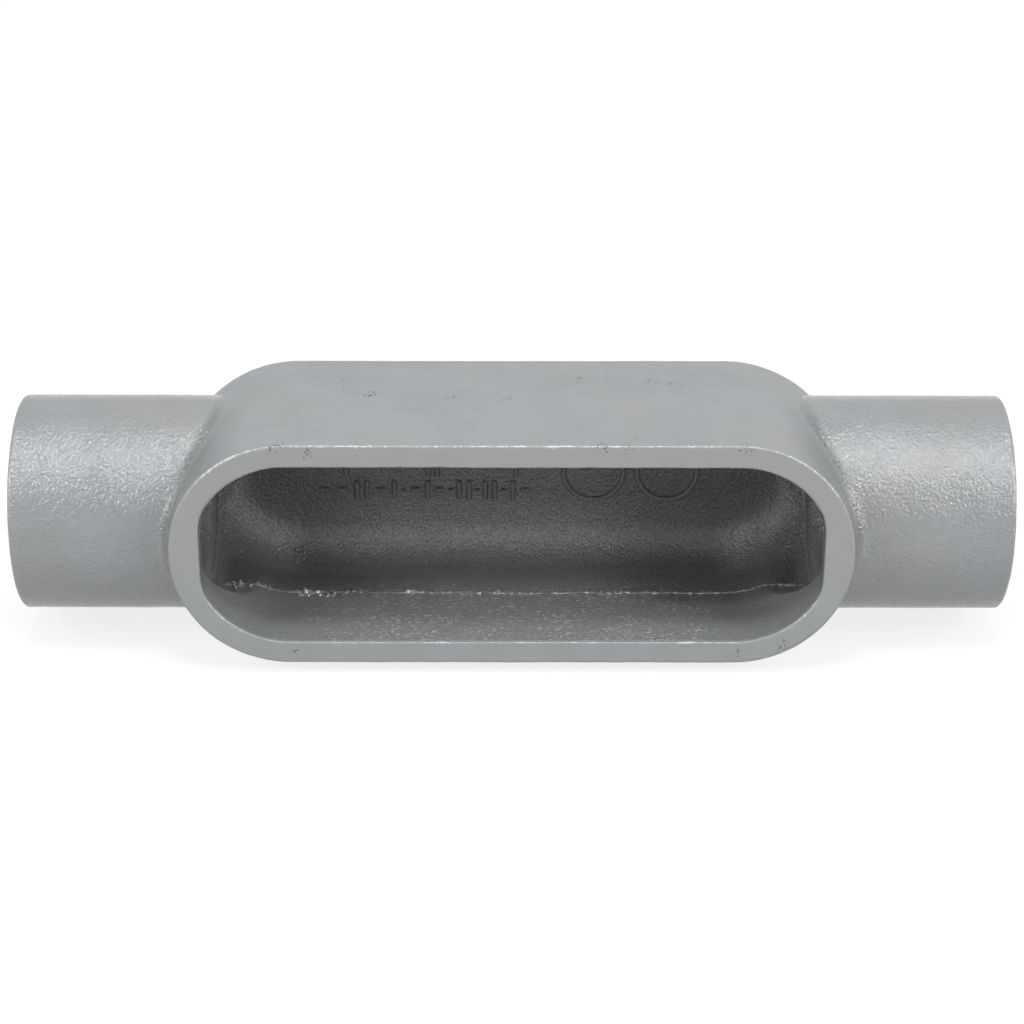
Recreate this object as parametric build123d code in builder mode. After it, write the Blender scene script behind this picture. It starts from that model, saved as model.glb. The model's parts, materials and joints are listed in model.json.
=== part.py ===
from build123d import *
import os

# A straight-through conduit body for 1 inch rigid conduit: one hollow iron casting, open on one long face.
# The conduit run is X, the open face looks along -Y and +Z is up.
# The origin is on the hub axis, midway between the two hub mouths.
# All lengths are in millimetres and all drafts in degrees.

# Hubs, each tapped for a conduit
bore_diameter = 29.7
bore_depth = 24.0
bore_chamfer = 2.0
hub_wall = 5.8
hub_mouth_rounding = 0.9

# Integral bushings, the rounded stops between the tapped bores and the cavity
bushing_lip = 2.15
bushing_length = 11.05
bushing_rounding = 2.2

# Box outside, widest on the parting plane through the hub axis
arc_centre_distance = 82.7
side_step = 3.6
side_draft = 5.0
rim_height = 25.8
back_step = 0.45
back_draft = 0.6
back_edge_radius = 9.5
hub_blend_radius = 2.6
rim_rounding = 0.5

# Cavity, left by a core that was split on the same plane
side_wall = 4.85
mouth_draft = 4.4
back_wall = 3.3
floor_draft = 2.0
floor_edge_radius = 6.4
end_flat_depth = 1.35
recess_step = 0.25
bushing_stand_in = 0.7

# Radii about the hub axis, and distances from the parting plane
bore_radius = bore_diameter / 2
hub_radius = bore_radius + hub_wall
throat_radius = bore_radius - bushing_lip
box_radius = hub_radius + side_step
cavity_radius = box_radius - side_wall
back_depth = hub_radius + back_step
floor_depth = back_depth - back_wall
recess_radius = floor_depth - recess_step

# Distances along the run, from the middle of the body
arc_centre = arc_centre_distance / 2
core_end = arc_centre + cavity_radius - end_flat_depth
bushing_face = core_end - bushing_stand_in
bore_floor = bushing_face + bushing_length
hub_mouth = bore_floor + bore_depth

towards_open = Plane.XZ
towards_back = Plane(origin=(0, 0, 0), x_dir=(1, 0, 0), z_dir=(0, 1, 0))
across_run = Plane.YZ
ends = (-1, 1)
match_tolerance = 0.01


def obround(plane, end_radius):
    """The outline that box and cavity share on the parting plane: two half circles and two straight sides."""
    with BuildSketch(plane) as outline:
        SlotCenterToCenter(arc_centre_distance, 2 * end_radius)
    return outline.sketch


def core_outline(plane, flat_end):
    """The cavity's outline on the parting plane, with its two round ends cut flat at this distance."""
    with BuildSketch(plane) as outline:
        SlotCenterToCenter(arc_centre_distance, 2 * cavity_radius)
        Rectangle(2 * flat_end, 2 * cavity_radius, mode=Mode.INTERSECT)
    return outline.sketch


def rings_at(part, distance, radius):
    """The round edges of this radius about the hub axis, one at each end, this far from the middle."""
    circles = part.edges().filter_by(GeomType.CIRCLE)
    return circles.filter_by(
        lambda edge: abs(abs(edge.center().X) - distance) < match_tolerance
        and abs(edge.radius - radius) < match_tolerance
    )


# Core: the solid form of the cavity and its two end recesses, all cut off at the bushing faces
with BuildPart() as core:
    extrude(core_outline(towards_open, core_end), amount=rim_height, taper=mouth_draft)
    split(bisect_by=across_run.offset(bushing_face), keep=Keep.BOTTOM)
    split(bisect_by=across_run.offset(-bushing_face), keep=Keep.TOP)
    extrude(core_outline(towards_back, bushing_face), amount=floor_depth, taper=floor_draft)
    floor = core.faces().sort_by(Axis.Y)[-1]
    fillet(floor.edges(), floor_edge_radius)
    for end in ends:
        with BuildSketch(across_run.offset(end * arc_centre)):
            Circle(recess_radius)
        extrude(amount=end * (bushing_face - arc_centre))

# Casting: the drafted box with its rounded back, the two hubs blended into it, then what is hollow
with BuildPart() as body_casting:
    extrude(obround(towards_open, box_radius), amount=rim_height, taper=side_draft)
    extrude(obround(towards_back, box_radius), amount=back_depth, taper=back_draft)
    back = body_casting.faces().sort_by(Axis.Y)[-1]
    fillet(back.edges(), back_edge_radius)

    with BuildSketch(across_run):
        Circle(hub_radius)
    extrude(amount=hub_mouth, both=True)
    hub_seams = body_casting.edges().filter_by(GeomType.BSPLINE)
    fillet(hub_seams, hub_blend_radius)
    fillet(rings_at(body_casting, hub_mouth, hub_radius), hub_mouth_rounding)

    add(core.part, mode=Mode.SUBTRACT)
    with BuildSketch(across_run):
        Circle(throat_radius)
    extrude(amount=hub_mouth, both=True, mode=Mode.SUBTRACT)
    fillet(rings_at(body_casting, bushing_face, throat_radius), bushing_rounding)

    for end in ends:
        with BuildSketch(across_run.offset(end * bore_floor)):
            Circle(bore_radius)
        extrude(amount=end * bore_depth, mode=Mode.SUBTRACT)
    chamfer(rings_at(body_casting, hub_mouth, bore_radius), bore_chamfer)
    rim = body_casting.faces().sort_by(Axis.Y)[0]
    fillet(rim.edges(), rim_rounding)

body_casting.part.label = "body_casting"
os.makedirs("parts", exist_ok=True)
export_step(body_casting.part, "parts/body_casting.step")
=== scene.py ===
import json
import math

import bmesh
import bpy
import numpy as np
from mathutils import Euler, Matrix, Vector


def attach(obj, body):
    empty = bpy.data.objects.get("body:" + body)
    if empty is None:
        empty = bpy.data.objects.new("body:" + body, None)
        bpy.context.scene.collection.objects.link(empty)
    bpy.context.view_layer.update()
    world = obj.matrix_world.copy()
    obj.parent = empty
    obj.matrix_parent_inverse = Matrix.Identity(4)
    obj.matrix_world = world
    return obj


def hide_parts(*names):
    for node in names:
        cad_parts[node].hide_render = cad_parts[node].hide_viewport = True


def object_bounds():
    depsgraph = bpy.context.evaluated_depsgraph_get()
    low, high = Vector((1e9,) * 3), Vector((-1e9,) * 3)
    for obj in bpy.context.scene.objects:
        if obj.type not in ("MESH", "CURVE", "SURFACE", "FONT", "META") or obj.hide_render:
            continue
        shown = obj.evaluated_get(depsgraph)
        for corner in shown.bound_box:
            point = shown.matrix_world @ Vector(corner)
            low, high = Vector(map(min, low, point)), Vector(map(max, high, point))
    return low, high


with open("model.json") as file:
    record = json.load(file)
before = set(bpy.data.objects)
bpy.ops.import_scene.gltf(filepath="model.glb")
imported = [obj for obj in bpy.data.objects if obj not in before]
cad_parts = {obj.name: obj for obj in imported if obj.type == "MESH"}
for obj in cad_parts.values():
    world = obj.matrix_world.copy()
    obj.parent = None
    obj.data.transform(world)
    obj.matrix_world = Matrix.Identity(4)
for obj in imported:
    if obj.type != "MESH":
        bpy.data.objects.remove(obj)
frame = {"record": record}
cad_low, cad_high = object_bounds()

# The casting is worked out in millimetres and written to Blender in metres.
METRE = 1000.0
BODY = "root"
NODE = "body_casting"

# What the frame gives: the hubs' bores, the throat, the rim plane, the back plane and the length
mounts = {mount["name"]: mount for mount in frame["record"]["mounts"]}
bore_radius = mounts["right_hub"]["dims"]["r_mm"]
throat_radius = mounts["wireway"]["dims"]["r_mm"]
bore_floor = mounts["wireway"]["dims"]["length_mm"] / 2
rim_height = -mounts["cover_seat"]["pos_m"][1] * METRE
back_depth = mounts["back_face"]["pos_m"][1] * METRE
hub_mouth = cad_high.x * METRE
box_radius = cad_high.z * METRE

# Outside, as in the solid
arc_centre = 41.35
hub_radius = 20.65
hub_mouth_rounding = 0.9
hub_blend_radius = 2.6
side_draft = math.radians(5.0)
back_draft = math.radians(0.6)
back_edge_radius = 9.5
rim_rounding = 0.5

# Cavity, bushings and bores, as in the solid
cavity_radius = 19.4
mouth_draft = math.radians(4.4)
floor_draft = math.radians(2.0)
floor_depth = 17.8
floor_edge_radius = 6.4
recess_radius = 17.55
bushing_face = 58.7
bushing_rounding = 2.2
core_end = 59.4
outer_rim_radius = box_radius - rim_height * math.tan(side_draft)
inner_rim_radius = cavity_radius - rim_height * math.tan(mouth_draft)
bore_chamfer = 2.0
inner_rim_rounding = 0.3
inner_edge_rounding = 0.6
inner_edge_cosine = 0.3
flat_end_cosine = (bushing_face - arc_centre) / cavity_radius
flat_end_rounding = 9.0
flat_end_rounding_end = -15.0

# Cast surface: every height is taken inwards, so the casting never grows past the solid
wave_sizes = (17.0, 6.5, 2.8, 1.6)
wave_heights = (0.10, 0.06, 0.04, 0.05)
noise_lattice = 32
largest_move = 0.5

# Clusters of small rough lumps in the cavity: x, y, z, reach along and across, and how many
lump_clusters = (
    (-53.4, -0.6, -18.0, 2.2, 1.0, 14),
    (-48.0, 0.0, -18.6, 1.4, 0.4, 5),
    (-40.8, -0.8, -19.4, 2.2, 1.5, 16),
    (-36.5, -1.6, -19.4, 2.0, 0.8, 6),
    (-42.6, 13.6, -17.4, 1.8, 1.6, 22),
    (-9.0, -0.6, -19.4, 3.0, 0.8, 6),
    (-3.0, 0.0, -19.4, 2.0, 0.8, 5),
    (20.0, -0.5, -19.4, 4.0, 0.6, 5),
)
lump_radii = (0.22, 0.55)
lump_roughness = 0.4
lump_grain = 0.7

# Flash: the thin ragged ridge in the cavity where the two halves of its core met.
# Its heights are pairs of feature size and height, and its lumps are a place along x, a reach and a height.
flash_step = 0.2
flash_end = 57.6
flash_width = 0.30
flash_heights = ((1.3, 0.26), (5.0, 0.16), (0.55, 0.40))
flash_lumps = ((-40.8, 2.4, 1.0), (-53.2, 2.6, 0.9), (-49.3, 1.2, 0.7), (-31.0, 1.6, 0.4), (54.6, 1.6, 0.4))
flash_base = 0.05
flash_lowest = -0.1
flash_fade_start = 25
flash_fade_end = 38
flash_wander = 0.3
flash_jitter = 0.32
flash_root = 0.4

# Pipe thread: 11.5 turns to the inch, cut into a wall that the visual bore leaves behind it
thread_pitch = 25.4 / 11.5
thread_depth = 1.70
thread_wall_gap = 0.15
thread_wall_radius = bore_radius + thread_depth + thread_wall_gap
thread_sleeve_radius = thread_wall_radius + 0.5
thread_runout = 3.5
thread_end_gap = 0.25
thread_segments = 120
thread_steps = 10

# Where the tones of the surface, the painted shade and the painted glints begin and end: depths along y, and
# distances from the middle along x
dust_depths = (6.0, 13.5)
shade_depths = (-3, 3)
shade_run = (12, 38)
shade_stop = (55, 57.5)
dark_run = (18, 42)
glint_stop = (32, 43)
end_wall_depths = (3, -7)
plain_grain = 0.22

# Clusters of fine pits where the photograph shows them: x, y, z and reach
pit_clusters = (
    (-32.0, 1.0, 24.0, 2.2),
    (-37.8, 4.2, 24.2, 1.2),
    (-26.5, -4.5, 23.9, 2.0),
    (-22.5, -4.5, 23.9, 1.0),
    (-11.8, -5.3, 23.8, 1.6),
    (-1.3, -6.1, 23.7, 2.2),
    (12.8, 3.3, 24.2, 1.6),
    (18.7, 4.4, 24.2, 1.2),
    (26.5, 1.5, 24.1, 2.2),
    (31.0, 0.5, 24.1, 2.0),
    (22.5, -22.2, 22.3, 1.0),
    (-42.4, -25.5, 21.4, 2.6),
    (-37.0, -25.6, 20.3, 1.6),
    (16.5, -25.6, 21.6, 1.8),
    (21.0, -25.8, 21.2, 1.4),
    (42.2, -25.6, 21.4, 1.8),
    (-40.4, -25.8, -19.8, 1.2),
    (41.6, -25.8, -19.7, 1.4),
    (50.5, -25.8, -18.0, 2.0),
)

# Light: the room and the floor, a lamp overhead, and one at each side in front
room_light = 0.665
floor_grey = 0.20
floor_glow = 0.80
floor_shine = 0.76
key_power = 4.4
key_elevation = math.radians(74)
left_power = 8.8
right_power = 11.2
side_elevation = math.radians(30)
side_azimuth = math.radians(60)

# Raised marks on the cavity's floor: bars, dots and dashes with no meaning, and two plain rings
mark_radius = 0.5
mark_row_start = -38.4
mark_row_end = 4.6
mark_height = 3.9
mark_rows = (-5.2, -0.3)
dash_length = 1.6
dot_half = 0.2
mark_gaps = (1.5, 2.2)
ring_radius = 6.0
ring_centres = (16.3, 31.0)
ring_row = -1.2


def clamp(value, low=0.0, high=1.0):
    return np.minimum(np.maximum(value, low), high)


def smooth_step(value, start, end):
    """0 before start, 1 after end and a smooth rise between them."""
    share = clamp((value - start) / (end - start))
    return share * share * (3 - 2 * share)


def lattice_noise(points, cell, seed):
    """Smooth noise from -1 to 1, with features about as large as the cell."""
    table = np.random.default_rng(seed).uniform(-1, 1, (noise_lattice,) * 3)
    scaled = points / cell
    low = np.floor(scaled).astype(int)
    share = scaled - low
    share = share * share * (3 - 2 * share)
    total = np.zeros(len(points))
    for corner in np.ndindex(2, 2, 2):
        weight = np.prod(np.where(corner, share, 1 - share), axis=1)
        index = (low + corner) % noise_lattice
        total += weight * table[index[:, 0], index[:, 1], index[:, 2]]
    return total


def joined(a, b, radius, cosine):
    """Union of two distance fields with a rolling-ball fillet. The cosine is that between their normals."""
    u = radius - a
    v = radius - b
    between = (u > cosine * v) & (v > cosine * u)
    reach = np.sqrt(np.maximum(u * u + v * v - 2 * cosine * u * v, 0) / (1 - cosine * cosine))
    return np.where(between, radius - reach, np.minimum(a, b))


def common(a, b, radius, cosine):
    """Intersection of two distance fields with a rounded edge."""
    return -joined(-a, -b, radius, cosine)


def outline_distance(x, z):
    """Distance from the line between the two arc centres, seen through the open face."""
    return np.hypot(np.maximum(np.abs(x) - arc_centre, 0), z)


def box_field(points):
    """The drafted box: widest on the parting plane, square at the rim and round at the back."""
    x, y, z = points.T
    front_radius = box_radius + np.minimum(y, 0) * math.tan(side_draft)
    radius = front_radius - np.maximum(y, 0) * math.tan(back_draft)
    side = (outline_distance(x, z) - radius) * math.cos(side_draft)
    front = common(side, -y - rim_height, rim_rounding, math.sin(side_draft))
    back = common(side, y - back_depth, back_edge_radius, math.sin(back_draft))
    return np.maximum(front, back)


def gradient(field, points, step=0.02):
    """Central differences of a field, one row for each point."""
    rows = []
    for axis in np.eye(3) * step:
        rows.append((field(points + axis) - field(points - axis)) / (2 * step))
    return np.stack(rows, axis=1)


def outside_field(points):
    """The box and the two hubs, with the fillet between them."""
    x, y, z = points.T
    axis_distance = np.maximum(np.hypot(y, z), 1e-6)
    hub = common(axis_distance - hub_radius, np.abs(x) - hub_mouth, hub_mouth_rounding, 0.0)
    box = box_field(points)
    slope = gradient(box_field, points)
    cosine = (slope[:, 1] * y + slope[:, 2] * z) / axis_distance
    return joined(box, hub, hub_blend_radius, clamp(cosine, -0.9, 0.995))


def void_field(points):
    """What is hollow: the cavity, its end recesses, the throats, the tapped bores and their chamfers."""
    x, y, z = points.T
    along = np.abs(x)
    axis_distance = np.hypot(y, z)
    draft = np.minimum(y, 0) * math.tan(mouth_draft) - np.maximum(y, 0) * math.tan(floor_draft)
    flat_end = np.minimum(np.where(y > 0, bushing_face, core_end) + draft, bushing_face)
    round_wall = outline_distance(x, z) - cavity_radius - draft
    corner_share = smooth_step(y, flat_end_rounding_end, -rim_height)
    corner = inner_edge_rounding + (flat_end_rounding - inner_edge_rounding) * corner_share
    wall = common(round_wall, along - flat_end, corner, flat_end_cosine)
    core = common(wall, y - floor_depth, floor_edge_radius, math.sin(floor_draft))
    lip = joined(along - bushing_face, axis_distance - throat_radius, bushing_rounding, 0.0)
    recess = np.maximum(axis_distance - recess_radius, lip)
    bore = np.maximum(axis_distance - thread_wall_radius, bore_floor - along)
    mouth_radius = bore_radius + bore_chamfer - (hub_mouth - along)
    chamfer = (axis_distance - mouth_radius) * math.sqrt(0.5)
    hollow = joined(core, recess, inner_edge_rounding, inner_edge_cosine)
    return np.minimum(np.minimum(hollow, bore), chamfer)


def edge_cosine(x):
    """Cosine between the two faces at an open edge: 45 degrees at a hub's mouth, the draft at the rim."""
    return np.where(np.abs(x) > bore_floor, math.sqrt(0.5), -math.sin(mouth_draft))


def smooth_field(points):
    """The casting without its cast surface: the outside less what is hollow, with rounded open edges."""
    return common(outside_field(points), -void_field(points), inner_rim_rounding, edge_cosine(points[:, 0]))


def cast_waves(points):
    """How far the cast surface lies below the drawn one: slow waves and smaller ones, never less than 0."""
    depth = np.zeros(len(points))
    for seed, (size, height) in enumerate(zip(wave_sizes, wave_heights)):
        depth += height * (1 + lattice_noise(points, size, seed)) / 2
    return depth


def cast_field(points):
    """The casting with its cast surface."""
    waves = cast_waves(points)
    x = points[:, 0]
    in_cavity = 1 - smooth_step(np.abs(x), bushing_face + 3, bushing_face + 6)
    hollow = void_field(points) - waves * in_cavity
    return common(outside_field(points) + waves, -hollow, inner_rim_rounding, edge_cosine(x))


def graded(start, *spans):
    """Grid lines from start on, in spans that each give their end and their largest step."""
    lines = [start]
    for end, step in spans:
        count = math.ceil((end - lines[-1]) / step - 1e-9)
        lines.extend(np.linspace(lines[-1], end, count + 1)[1:])
    return np.array(lines)


def casting_grid():
    """Grid lines on one side of 0 in x and z, and all of them in y, close together at sharp edges."""
    x = graded(0, (40, 0.85), (58, 0.7), (61.5, 0.5), (68, 0.7), (71, 0.55), (91.5, 1.5), (94.2, 0.18))
    y = graded(-26.4, (-26, 0.4), (-25, 0.17), (-24, 0.5), (0, 1.6), (9, 1.5), (21.3, 0.85), (21.7, 0.4))
    z = graded(0, (9, 1.5), (17, 0.95), (18.4, 0.35), (21.2, 0.7), (22.3, 0.3), (24.6, 0.6))
    return x, y, z


def both_sides(values, axis):
    """Add the mirror image of grid values across 0 on this axis."""
    rest = np.take(values, range(1, values.shape[axis]), axis=axis)
    return np.concatenate([np.flip(rest, axis=axis), values], axis=axis)


def surface_net(axes, values):
    """One point in each grid cell that the surface crosses, and one quad around each crossed grid line."""
    shape = np.array(values.shape)
    cells = shape - 1
    sums = np.zeros((cells.prod(), 3))
    counts = np.zeros(cells.prod())
    quads = []
    for axis in range(3):
        others = ((axis + 1) % 3, (axis + 2) % 3)
        low = np.take(values, range(shape[axis] - 1), axis=axis)
        high = np.take(values, range(1, shape[axis]), axis=axis)
        start = np.argwhere((low < 0) != (high < 0))
        at_low = low[tuple(start.T)]
        at_high = high[tuple(start.T)]
        share = at_low / (at_low - at_high)
        crossing = np.stack([axes[i][start[:, i]] for i in range(3)], axis=1)
        crossing[:, axis] += share * (axes[axis][start[:, axis] + 1] - axes[axis][start[:, axis]])
        corners = []
        for offset in ((-1, -1), (0, -1), (0, 0), (-1, 0)):
            cell = start.copy()
            cell[:, others[0]] += offset[0]
            cell[:, others[1]] += offset[1]
            corners.append(np.ravel_multi_index(cell.T, cells))
        quad = np.stack(corners, axis=1)
        for corner in quad.T:
            np.add.at(sums, corner, crossing)
            np.add.at(counts, corner, 1)
        quad[at_low > 0] = quad[at_low > 0][:, ::-1]
        quads.append(quad)
    used = np.flatnonzero(counts)
    number = np.zeros(len(counts), dtype=int)
    number[used] = np.arange(len(used))
    return sums[used] / counts[used, None], number[np.concatenate(quads)]


def on_surface(field, points, rounds=3):
    """Move points onto the surface of a field."""
    for _ in range(rounds):
        slope = gradient(field, points)
        steepness = np.maximum((slope * slope).sum(axis=1), 0.05)
        step = clamp(field(points) / steepness, -largest_move, largest_move)
        points = points - slope * step[:, None]
    return points


def new_object(name, points, faces, material):
    """A smooth-shaded mesh from points in millimetres."""
    mesh = bpy.data.meshes.new(name)
    mesh.from_pydata((points / METRE).tolist(), [], [list(map(int, face)) for face in faces])
    mesh.polygons.foreach_set("use_smooth", [True] * len(mesh.polygons))
    mesh.materials.append(material)
    piece = bpy.data.objects.new(name, mesh)
    bpy.context.collection.objects.link(piece)
    return piece


def mark_points(piece, name, values):
    """Give every point a number that the material reads."""
    layer = piece.data.attributes.new(name, "FLOAT", "POINT")
    layer.data.foreach_set("value", np.asarray(values, dtype=np.float32))


def belong(piece):
    """Every piece is part of the one casting."""
    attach(piece, BODY)
    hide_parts(NODE)


def build_casting(material):
    """The whole casting as one closed mesh."""
    x, y, z = casting_grid()
    corner = np.stack(np.meshgrid(x, y, z, indexing="ij"), axis=-1)
    values = smooth_field(corner.reshape(-1, 3)).reshape(corner.shape[:3])
    values = both_sides(both_sides(values, 0), 2)
    axes = (both_sides(x, 0), y, both_sides(z, 0))
    axes[0][: len(x) - 1] *= -1
    axes[2][: len(z) - 1] *= -1
    points, quads = surface_net(axes, values)
    points = on_surface(cast_field, points)
    points = clamp(points, np.array(cad_low) * METRE, np.array(cad_high) * METRE)
    casting = new_object("casting", points, quads, material)
    normals = gradient(cast_field, points)
    normals /= np.linalg.norm(normals, axis=1)[:, None]
    casting.data.normals_split_custom_set_from_vertices(normals.tolist())
    describe_surface(casting, points)
    belong(casting)
    return casting


def describe_surface(piece, points):
    """Say at each point how pebbly and how dusty the surface is, how much painted light its dust gets, and
    where it has painted shade and painted glints.
    """
    x, y, z = points.T
    off_box = box_field(points)
    cavity = smooth_step(-outside_field(points), 0.5, 1.2)
    hub = smooth_step(off_box, 0.0, 0.5) * (1 - cavity)
    front_wall = cavity * smooth_step(-y, -8, 4)
    grain = np.maximum(hub, cavity * 1.5 - front_wall * 0.6)
    dust = cavity * smooth_step(y, *dust_depths)
    # Painted light and shade on the dust: lighter on the floor's fillets, darker along its middle line and
    # towards the cavity's ends, less so in the end corners.
    end_corner = smooth_step(outline_distance(x, z), 10, 15) * smooth_step(np.abs(x), 40, 47)
    from_middle = smooth_step(np.where(x > 0, x + 9, -x - 2), *dark_run) * (1 - 0.8 * end_corner)
    dust_painted_light = clamp((outline_distance(x, z) - 2) / 15, 0.23) * (1 - 0.65 * from_middle)
    # Painted shade: the cavity's walls from the parting plane back, short of the floor, darken from the
    # middle towards the ends. The shade starts further forward on the right and stops before the bushings.
    shade_edge = -5.0 * smooth_step(x, 14, 32)
    painted_shade = smooth_step(y - shade_edge, *shade_depths) * smooth_step(np.abs(x), *shade_run)
    painted_shade *= cavity * (1 - dust) * (1 - smooth_step(np.abs(x), *shade_stop))
    # Painted shade: the box's end walls around the hubs and the fillets into the hubs darken on their front
    # half, and most on the upper fillets.
    facing_end = smooth_step((np.abs(x) - arc_centre) / np.maximum(outline_distance(x, z), 1), 0.3, 0.75)
    end_wall_shade = facing_end * (1 - cavity) * smooth_step(off_box, 1.8, 1.0)
    end_wall_shade *= smooth_step(y, -25.6, -24) * smooth_step(y, *end_wall_depths)
    in_fillet = smooth_step(off_box, 0.0, 0.4) * smooth_step(z, -5, 4)
    # Painted glints: pale flecks on the cavity's walls near the mouth, fewer towards its ends.
    painted_glints = front_wall * (1 - 0.85 * smooth_step(np.abs(x), *glint_stop))
    mark_points(piece, "grain", np.maximum(grain, plain_grain))
    mark_points(piece, "dust", dust)
    mark_points(piece, "dust_painted_light", dust_painted_light)
    mark_points(piece, "painted_shade", painted_shade + end_wall_shade * (0.45 + 0.4 * in_fillet))
    mark_points(piece, "painted_glints", painted_glints)


def build_flash(name, material):
    """The ragged ridge on the cavity's upper and lower walls, along the parting plane."""
    count = int(2 * flash_end / flash_step) + 1
    x = np.linspace(-flash_end, flash_end, count)
    round_part = np.sqrt(cavity_radius ** 2 - np.maximum(np.abs(x) - arc_centre, 0) ** 2)
    wall = np.maximum(round_part, recess_radius)
    points = []
    faces = []
    for side in (-1, 1):
        line = np.stack([x, np.zeros(count), np.full(count, side * 50.0)], axis=1)
        height = np.full(count, flash_base)
        for seed, (size, most) in enumerate(flash_heights):
            height += most * lattice_noise(line, size, 20 + seed)
        height *= 1 - 0.5 * smooth_step(np.abs(x), flash_fade_start, flash_fade_end)
        for place, reach, most in flash_lumps:
            rough = 0.5 + 0.9 * lattice_noise(line, 0.7, 25)
            height += most * rough * np.exp(-((x - place) / reach) ** 2) * (side < 0)
        height = np.maximum(height, flash_lowest)
        centre = flash_wander * lattice_noise(line, 5.0, 30) + flash_jitter * lattice_noise(line, 0.8, 31)
        width = flash_width * (1 + 0.5 * lattice_noise(line, 0.9, 32)) + height * 0.5
        start = len(points) * count
        ridge = ((-1, 0.0), (-0.5, 0.6), (0, 1.0), (0.5, 0.6), (1, 0.0))
        profile = ((-1, -flash_root), *ridge, (1, -flash_root))
        for across, up in profile:
            rise = np.where(up < 0, up, up * height)
            points.append(np.stack([x, centre + across * width, side * (wall - rise)], axis=1))
        rows = len(profile)
        for i in range(rows):
            for j in range(count - 1):
                a = start + i * count + j
                b = start + (i + 1) % rows * count + j
                faces.append((a, a + 1, b + 1, b) if side > 0 else (a, b, b + 1, a + 1))
        for j in (0, count - 1):
            cap = [start + i * count + j for i in range(rows)]
            faces.append(cap if (j == 0) == (side > 0) else cap[::-1])
    piece = new_object(name, np.concatenate(points), faces, material)
    total = count * len(points)
    # The whole flash carries the painted glints.
    for attribute, value in (("grain", 0.8), ("painted_glints", 1)):
        mark_points(piece, attribute, np.full(total, value))
    along = np.concatenate([row[:, 0] for row in points])
    mark_points(piece, "bare", 1 - 0.6 * smooth_step(np.abs(along), flash_fade_start, flash_fade_end))
    belong(piece)
    return piece


def build_lumps(name, material):
    """Small rough lumps, half sunk in the cavity's surface."""
    draw = np.random.default_rng(50)
    ball = bmesh.new()
    bmesh.ops.create_icosphere(ball, subdivisions=2, radius=1.0)
    shape = np.array([vert.co[:] for vert in ball.verts])
    sides = [[vert.index for vert in face.verts] for face in ball.faces]
    ball.free()
    points = []
    faces = []
    for x, y, z, along, across, count in lump_clusters:
        spread = draw.normal(0, 0.5, (count, 3)) * (along, across, across)
        centres = on_surface(cast_field, np.array((x, y, z)) + spread)
        for centre, radius in zip(centres, draw.uniform(*lump_radii, count)):
            rough = 1 + lump_roughness * lattice_noise(shape + 7 * centre, lump_grain, 51)
            start = len(points) * len(shape)
            points.append(centre + radius * shape * rough[:, None])
            faces.extend([start + index for index in side] for side in sides)
    points = np.concatenate(points)
    piece = new_object(name, points, faces, material)
    describe_surface(piece, points)
    mark_points(piece, "bare", 0.8 - 0.5 * smooth_step(points[:, 1], 3, 9))
    belong(piece)
    return piece


def thread_inner_radius(along, turn):
    """Inner radius of the tapped hub, where turn is the thread's own count of turns at that place."""
    across = np.abs((turn % 1.0) * 2 - 1)
    groove = smooth_step(across, 0.12, 0.88)
    fade = smooth_step(along - bore_floor, 0.2, thread_runout)
    cone = bore_radius + bore_chamfer - (hub_mouth - along)
    return np.maximum(bore_radius + thread_depth * groove * fade, cone)


def build_thread(name, side, material):
    """A closed sleeve with a right-handed thread inside, swept along its own helix so the crests are true."""
    start = bore_floor - thread_end_gap
    end = hub_mouth - thread_end_gap
    turns = math.ceil((end - start) / thread_pitch) + 2
    steps = turns * thread_segments
    index = np.arange((steps + 1) * thread_steps)
    step, row = np.divmod(index, thread_steps)
    angle = 2 * math.pi * step / thread_segments
    along = start - thread_pitch * 1.5 + thread_pitch * (step / thread_segments + row / thread_steps)
    along = clamp(along, start, end)
    turn = along / thread_pitch - step / thread_segments
    radius = thread_inner_radius(along, turn)
    inner = np.stack([along, radius * np.cos(angle), -radius * np.sin(angle)], axis=1)
    quads = []
    for i in range(steps):
        for j in range(thread_steps):
            a = i * thread_steps + j
            b = a + thread_steps
            if j + 1 < thread_steps:
                quads.append((a, b, b + 1, a + 1))
            elif i + thread_segments < steps:
                c = (i + thread_segments) * thread_steps
                quads.append((a, b, c + thread_steps, c))
    mirror = np.array([side, 1, side])
    piece = new_object(name, inner * mirror, quads, material)
    close_sleeve(piece, start * side / METRE, end * side / METRE)
    belong(piece)
    return piece


def close_sleeve(piece, start, end):
    """Merge the rows that were cut off at the sleeve's two ends, and add its outer wall."""
    work = bmesh.new()
    work.from_mesh(piece.data)
    bmesh.ops.remove_doubles(work, verts=work.verts, dist=1e-6)
    bmesh.ops.dissolve_degenerate(work, edges=work.edges, dist=1e-7)
    loose = [vert for vert in work.verts if not vert.link_faces]
    bmesh.ops.delete(work, geom=loose, context="VERTS")
    open_edges = [edge for edge in work.edges if edge.is_boundary]
    outer = {}
    for edge in open_edges:
        for vert in edge.verts:
            if vert not in outer:
                scale = thread_sleeve_radius / METRE / math.hypot(vert.co.y, vert.co.z)
                outer[vert] = work.verts.new((vert.co.x, vert.co.y * scale, vert.co.z * scale))
    for edge in open_edges:
        a, b = edge.verts
        work.faces.new((a, b, outer[b], outer[a]))
    bmesh.ops.bridge_loops(work, edges=[edge for edge in work.edges if edge.is_boundary])
    bmesh.ops.recalc_face_normals(work, faces=work.faces)
    work.to_mesh(piece.data)
    work.free()


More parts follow.
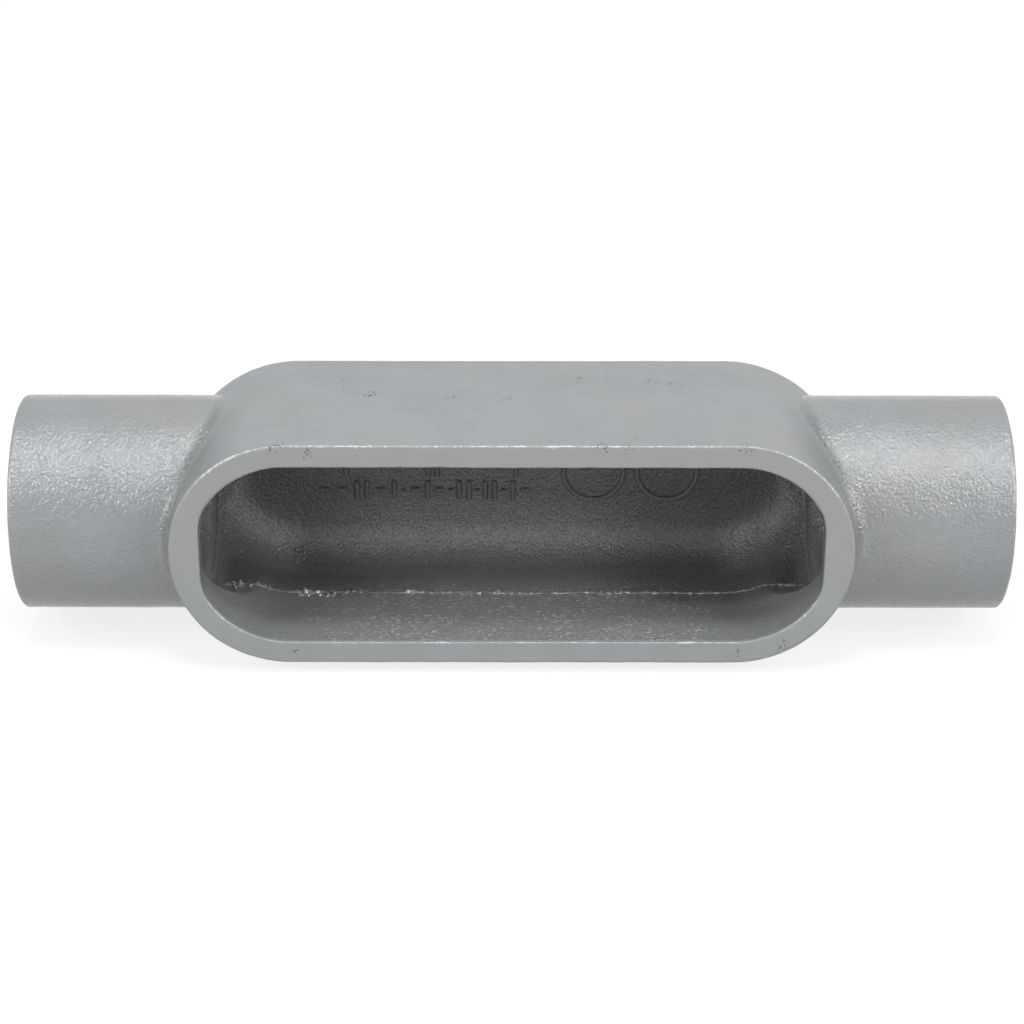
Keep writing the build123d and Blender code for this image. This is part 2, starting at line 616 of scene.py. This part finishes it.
def build_marks(name, material):
    """Low raised bars, dots, dashes and rings on the cavity's floor."""
    curve = bpy.data.curves.new("mark_paths", "CURVE")
    curve.dimensions = "3D"
    curve.bevel_depth = mark_radius / METRE
    curve.bevel_resolution = 2
    curve.use_fill_caps = True
    for row, z in enumerate(mark_rows):
        add_row(curve, row, z)
    for x in ring_centres:
        add_ring(curve, x, ring_row, ring_radius)
    source = bpy.data.objects.new("mark_paths", curve)
    mesh = bpy.data.meshes.new_from_object(source)
    bpy.data.objects.remove(source)
    mesh.name = name
    mesh.materials.append(material)
    mesh.polygons.foreach_set("use_smooth", [True] * len(mesh.polygons))
    piece = bpy.data.objects.new(name, mesh)
    bpy.context.collection.objects.link(piece)
    count = len(mesh.vertices)
    # The marks take the dust's colour, with its painted light at a fixed share.
    for attribute, value in (("grain", 0.5), ("dust", 1), ("dust_painted_light", 0.35)):
        mark_points(piece, attribute, np.full(count, value))
    belong(piece)
    return piece


def add_row(curve, row, z):
    """Bars, dots and dashes along a row. They spell nothing."""
    draw = np.random.default_rng(40 + row)
    half = mark_height / 2
    x = mark_row_start
    while x < mark_row_end:
        kind = ("bar", "bar", "dash", "dot")[draw.integers(0, 4)]
        if kind == "bar":
            add_stroke(curve, (x, z - half), (x, z + half))
        elif kind == "dash":
            add_stroke(curve, (x, z), (x + dash_length, z))
            x += dash_length
        else:
            add_stroke(curve, (x, z - dot_half), (x, z + dot_half))
        x += draw.uniform(*mark_gaps)


def add_stroke(curve, start, end):
    spline = curve.splines.new("POLY")
    spline.points.add(1)
    for point, (x, z) in zip(spline.points, (start, end)):
        point.co = (x / METRE, floor_depth / METRE, z / METRE, 1)


def add_ring(curve, x, z, radius, segments=40):
    spline = curve.splines.new("POLY")
    spline.points.add(segments - 1)
    spline.use_cyclic_u = True
    for index, point in enumerate(spline.points):
        angle = 2 * math.pi * index / segments
        place = (x + radius * math.cos(angle), floor_depth, z + radius * math.sin(angle))
        point.co = (*(value / METRE for value in place), 1)


class Shader:
    """A material's nodes, with a short call for each kind that is used here."""

    def __init__(self, name):
        self.material = bpy.data.materials.new(name)
        self.material.use_nodes = True
        self.nodes = self.material.node_tree.nodes
        self.links = self.material.node_tree.links
        self.surface = self.nodes["Principled BSDF"]
        self.place = self.nodes.new("ShaderNodeTexCoord").outputs["Object"]

    def feed(self, socket, value):
        """Set a socket to a plain value, or link it to another node's output."""
        if isinstance(value, bpy.types.NodeSocket):
            self.links.new(value, socket)
        else:
            socket.default_value = value

    def number(self, attribute):
        node = self.nodes.new("ShaderNodeAttribute")
        node.attribute_name = attribute
        return node.outputs["Fac"]

    def math(self, operation, a, b=0.0):
        node = self.nodes.new("ShaderNodeMath")
        node.operation = operation
        self.feed(node.inputs[0], a)
        self.feed(node.inputs[1], b)
        return node.outputs[0]

    def noise(self, size, detail=2.0, roughness=0.5, stretch=(1, 1, 1)):
        """Noise from 0 to 1, with features of about this size in millimetres."""
        node = self.nodes.new("ShaderNodeTexNoise")
        place = self.place
        if stretch != (1, 1, 1):
            scaled = self.nodes.new("ShaderNodeVectorMath")
            scaled.operation = "MULTIPLY"
            self.links.new(self.place, scaled.inputs[0])
            scaled.inputs[1].default_value = stretch
            place = scaled.outputs[0]
        self.links.new(place, node.inputs["Vector"])
        node.inputs["Scale"].default_value = METRE / size
        node.inputs["Detail"].default_value = detail
        node.inputs["Roughness"].default_value = roughness
        return node.outputs["Fac"]

    def step(self, value, start, end, low=0.0, high=1.0):
        """A smooth rise from low to high while the value goes from start to end."""
        node = self.nodes.new("ShaderNodeMapRange")
        node.interpolation_type = "SMOOTHSTEP"
        self.feed(node.inputs["Value"], value)
        self.feed(node.inputs["From Min"], start)
        self.feed(node.inputs["From Max"], end)
        self.feed(node.inputs["To Min"], low)
        self.feed(node.inputs["To Max"], high)
        return node.outputs["Result"]

    def mix(self, share, a, b):
        """Mix two colours, each four numbers or another node's output."""
        node = self.nodes.new("ShaderNodeMix")
        node.data_type = "RGBA"
        self.feed(node.inputs["Factor"], share)
        self.feed(node.inputs[6], a)
        self.feed(node.inputs[7], b)
        return node.outputs[2]

    def near(self, places):
        """1 near each place, given as x, y, z and a reach in millimetres, and 0 elsewhere."""
        total = 0.0
        for x, y, z, reach in places:
            node = self.nodes.new("ShaderNodeVectorMath")
            node.operation = "DISTANCE"
            self.links.new(self.place, node.inputs[0])
            node.inputs[1].default_value = (x / METRE, y / METRE, z / METRE)
            share = self.step(node.outputs["Value"], reach / METRE, 0.4 * reach / METRE)
            total = self.math("MAXIMUM", total, share)
        return total

    def place_parts(self):
        """The place's x, y and z in millimetres."""
        node = self.nodes.new("ShaderNodeSeparateXYZ")
        self.links.new(self.place, node.inputs[0])
        return [self.math("MULTIPLY", output, METRE) for output in node.outputs]

    def length(self, a, b):
        square = self.math("ADD", self.math("MULTIPLY", a, a), self.math("MULTIPLY", b, b))
        return self.math("SQRT", square)

    def rim_line(self, radius, width, start, end):
        """1 on the rim's edge of this end radius and 0 at this width from it, faded between two heights."""
        x, y, z = self.place_parts()
        past_arc = self.math("MAXIMUM", self.math("SUBTRACT", self.math("ABSOLUTE", x), arc_centre), 0.0)
        across = self.math("SUBTRACT", self.length(past_arc, z), radius)
        distance = self.length(across, self.math("ADD", y, rim_height))
        line = self.math("SUBTRACT", 1.0, self.math("DIVIDE", distance, width))
        return self.math("MULTIPLY", line, self.step(z, start, end))

    def bump(self, height, distance):
        """Relief of this depth in millimetres where the height is 1."""
        node = self.nodes.new("ShaderNodeBump")
        self.feed(node.inputs["Height"], height)
        node.inputs["Distance"].default_value = distance / METRE
        return node.outputs["Normal"]


def enamel_material():
    """Grey enamel over a cast surface: pebbly, mottled, dusty on the cavity's floor, with painted shade in
    the cavity and on the end walls, painted light on the dust, painted glints near the cavity's mouth, and a
    pale line along the rim that is partly wear and partly a painted highlight.
    """
    paint_cool = (0.347, 0.364, 0.377, 1)
    paint_warm = (0.352, 0.359, 0.354, 1)
    paint_dark = (0.323, 0.336, 0.345, 1)
    paint_rim = (0.366, 0.374, 0.366, 1)
    shade_and_mottle_dark = (0.10, 0.105, 0.105, 1)
    dust_light = (0.475, 0.455, 0.437, 1)
    dust_dark = (0.12, 0.116, 0.112, 1)
    bare_and_highlight = (0.53, 0.54, 0.545, 1)
    glint_pale = (0.80, 0.80, 0.79, 1)
    pit_dark = (0.13, 0.14, 0.16, 1)
    pebble_size = 0.62
    pebble_height = 0.28
    plain_roughness = 0.47
    pebbly_roughness = 0.12
    dust_roughness = 0.15
    shader = Shader("grey_enamel")
    grain = shader.number("grain")
    dust = shader.number("dust")

    colour = shader.mix(shader.step(shader.noise(26.0, 2, 0.5), 0.45, 0.68), paint_cool, paint_warm)
    mottle = shader.step(shader.noise(9.0, 5, 0.6), 0.3, 0.7)
    colour = shader.mix(mottle, colour, paint_dark)
    _, y, z = shader.place_parts()
    on_rim = shader.math("MULTIPLY", shader.step(y, -25.2, -25.7), shader.step(z, -14, 4, 0.2, 0.8))
    colour = shader.mix(on_rim, colour, paint_rim)
    # Painted shade: darker deep in the cavity, on the end walls and in the fillets into the hubs.
    colour = shader.mix(shader.math("MULTIPLY", shader.number("painted_shade"), 0.6), colour, shade_and_mottle_dark)
    speckle = shader.step(shader.noise(0.36, 3, 0.6), 0.36, 0.64, 0.5, 1.35)
    # Painted light and shade on the dust: lighter on the floor's fillets, darker along its middle and towards
    # its ends, with a random speckle on top.
    dust_colour = shader.mix(shader.math("MULTIPLY", speckle, shader.number("dust_painted_light")), dust_dark, dust_light)
    colour = shader.mix(shader.math("MULTIPLY", dust, 0.9), colour, dust_colour)

    fine = shader.noise(0.6, 3, 0.6)
    slow = shader.noise(4.0, 2, 0.5)
    # The same dark colour gives a fine random mottle, which is tone and not shade.
    shade = shader.step(fine, 0.35, 0.65, 0.10, 0.0)
    shade = shader.math("MULTIPLY", shade, shader.math("MAXIMUM", grain, 0.4))
    colour = shader.mix(shade, colour, shade_and_mottle_dark)
    # Pale line along the rim, on the upper part of its outer edge and the lower part of its inner edge:
    # partly wear, partly a painted highlight where the lamp above catches the rounding. The chips on the
    # flash and lumps are bare metal.
    outer = shader.rim_line(outer_rim_radius, 1.05, 3, 13)
    inner = shader.rim_line(inner_rim_radius, 1.0, -4, -10)
    ragged = shader.math("ADD", shader.math("MAXIMUM", outer, inner), shader.math("MULTIPLY", fine, 1.5))
    ragged = shader.math("ADD", ragged, slow)
    worn_and_highlight = shader.step(ragged, 1.88, 2.12)
    chips = shader.math("MULTIPLY", shader.number("bare"), shader.step(fine, 0.47, 0.57, 0.0, 0.6))
    colour = shader.mix(shader.math("MAXIMUM", worn_and_highlight, chips), colour, bare_and_highlight)
    # Painted glints: small pale flecks in clusters, where the attribute allows them.
    clusters = shader.step(shader.noise(7.0, 2, 0.5), 0.36, 0.56, 0.4, 1.0)
    painted_glints = shader.step(shader.noise(0.48, 2, 0.6, stretch=(0.5, 1, 1)), 0.575, 0.62)
    painted_glints = shader.math("MULTIPLY", shader.number("painted_glints"), shader.math("MULTIPLY", painted_glints, clusters))
    colour = shader.mix(shader.math("MULTIPLY", painted_glints, 0.8), colour, glint_pale)
    pits = shader.step(shader.noise(0.5, 2, 0.5, stretch=(1, 0.6, 1)), 0.57, 0.63)
    pits = shader.math("MULTIPLY", pits, shader.near(pit_clusters))
    colour = shader.mix(pits, colour, pit_dark)
    shader.feed(shader.surface.inputs["Base Color"], colour)

    pebbles = shader.math("MULTIPLY", shader.noise(pebble_size, 3, 0.55), grain)
    normal = shader.bump(pebbles, pebble_height)
    shader.feed(shader.surface.inputs["Normal"], normal)
    gloss = shader.step(grain, 0.6, 1.0, plain_roughness, pebbly_roughness)
    rough = shader.math("ADD", gloss, shader.math("MULTIPLY", dust, dust_roughness))
    shader.feed(shader.surface.inputs["Roughness"], rough)
    shader.surface.inputs["Metallic"].default_value = 0.35
    return shader.material


def tapped_material():
    """Bare iron in the tapped hubs, cut after the coating: dull, a little brown, finely lined."""
    shader = Shader("tapped_iron")
    mottle = shader.step(shader.noise(2.0, 4, 0.6), 0.35, 0.65)
    colour = shader.mix(mottle, (0.20, 0.195, 0.19, 1), (0.30, 0.295, 0.29, 1))
    shader.feed(shader.surface.inputs["Base Color"], colour)
    lines = shader.noise(0.5, 2, 0.5, stretch=(6, 1, 1))
    shader.feed(shader.surface.inputs["Normal"], shader.bump(lines, 0.03))
    shader.surface.inputs["Roughness"].default_value = 0.4
    shader.surface.inputs["Metallic"].default_value = 0.9
    return shader.material


def floor_material():
    """Matt grey that keeps the object's shadow, near white to the camera and pale in reflections."""
    shader = Shader("studio_floor")
    shader.surface.inputs["Base Color"].default_value = (floor_grey, floor_grey, floor_grey, 1)
    shader.surface.inputs["Roughness"].default_value = 1.0
    shader.surface.inputs["Specular IOR Level"].default_value = 0.0
    rays = shader.nodes.new("ShaderNodeLightPath")
    seen = shader.math("MAXIMUM", rays.outputs["Is Camera Ray"], rays.outputs["Is Transmission Ray"])
    seen = shader.math("MULTIPLY", seen, floor_glow)
    mirrored = shader.math("MULTIPLY", rays.outputs["Is Glossy Ray"], floor_shine)
    shader.surface.inputs["Emission Color"].default_value = (1, 1, 1, 1)
    shader.feed(shader.surface.inputs["Emission Strength"], shader.math("ADD", seen, mirrored))
    return shader.material


def build_floor():
    half = 3.0
    height = cad_low.z
    mesh = bpy.data.meshes.new("floor")
    corners = [(-half, -half), (half, -half), (half, half), (-half, half)]
    mesh.from_pydata([(x, y, height) for x, y in corners], [], [(0, 1, 2, 3)])
    mesh.materials.append(floor_material())
    floor = bpy.data.objects.new("floor", mesh)
    bpy.context.collection.objects.link(floor)


def light_scene():
    """An even white room, one lamp above and a little in front, and two low ones from the sides."""
    world = bpy.data.worlds.new("studio")
    bpy.context.scene.world = world
    world.use_nodes = True
    nodes = world.node_tree.nodes
    links = world.node_tree.links
    rays = nodes.new("ShaderNodeLightPath")
    seen = nodes.new("ShaderNodeMath")
    seen.operation = "MAXIMUM"
    links.new(rays.outputs["Is Camera Ray"], seen.inputs[0])
    links.new(rays.outputs["Is Transmission Ray"], seen.inputs[1])
    strength = nodes.new("ShaderNodeMapRange")
    strength.inputs["To Min"].default_value = room_light
    strength.inputs["To Max"].default_value = 1.0
    links.new(seen.outputs[0], strength.inputs["Value"])
    background = nodes["Background"]
    background.inputs["Color"].default_value = (1, 1, 1, 1)
    links.new(strength.outputs["Result"], background.inputs["Strength"])

    add_lamp("key", (0.35, 0.20), key_power, key_elevation, 0, 1.2)
    add_lamp("left", (0.6, 0.6), left_power, side_elevation, -side_azimuth, 1.5)
    add_lamp("right", (0.6, 0.6), right_power, side_elevation, side_azimuth, 1.5)


def add_lamp(name, size, power, elevation, azimuth, distance):
    """A rectangular lamp turned towards the part. Azimuth 0 is straight in front and grows to the right."""
    lamp = bpy.data.lights.new(name, "AREA")
    lamp.shape = "RECTANGLE"
    lamp.size = size[0]
    lamp.size_y = size[1]
    lamp.energy = power
    holder = bpy.data.objects.new(name, lamp)
    level = math.cos(elevation)
    direction = Vector((level * math.sin(azimuth), -level * math.cos(azimuth), math.sin(elevation)))
    holder.location = direction * distance
    holder.rotation_euler = direction.to_track_quat("Z", "Y").to_euler()
    bpy.context.collection.objects.link(holder)


def place_camera():
    """The photograph's view: level along the run, looking down into the open face."""
    distance = 0.48504
    elevation = math.radians(23.34)
    roll = math.radians(0.054)
    shift_pixels = (0.1, -10.7)
    picture_pixels = 1024
    camera = bpy.data.cameras.new("camera")
    camera.lens = 88.21
    camera.sensor_width = 36
    camera.shift_x = shift_pixels[0] / picture_pixels
    camera.shift_y = shift_pixels[1] / picture_pixels
    camera.clip_start = 0.01
    view = bpy.data.objects.new("camera", camera)
    view.location = (0, -distance * math.cos(elevation), distance * math.sin(elevation))
    tilt = Euler((math.pi / 2 - elevation, 0, 0)).to_matrix()
    turn = Euler((0, 0, roll)).to_matrix()
    view.rotation_euler = (tilt @ turn).to_euler()
    bpy.context.collection.objects.link(view)
    bpy.context.scene.camera = view


enamel = enamel_material()
build_casting(enamel)
tapped = tapped_material()
build_thread("left_thread", -1, tapped)
build_thread("right_thread", 1, tapped)
build_flash("parting_flash", enamel)
build_lumps("cavity_lumps", enamel)
build_marks("floor_marks", enamel)
build_floor()
light_scene()
place_camera()
bpy.context.scene.view_settings.view_transform = "Standard"
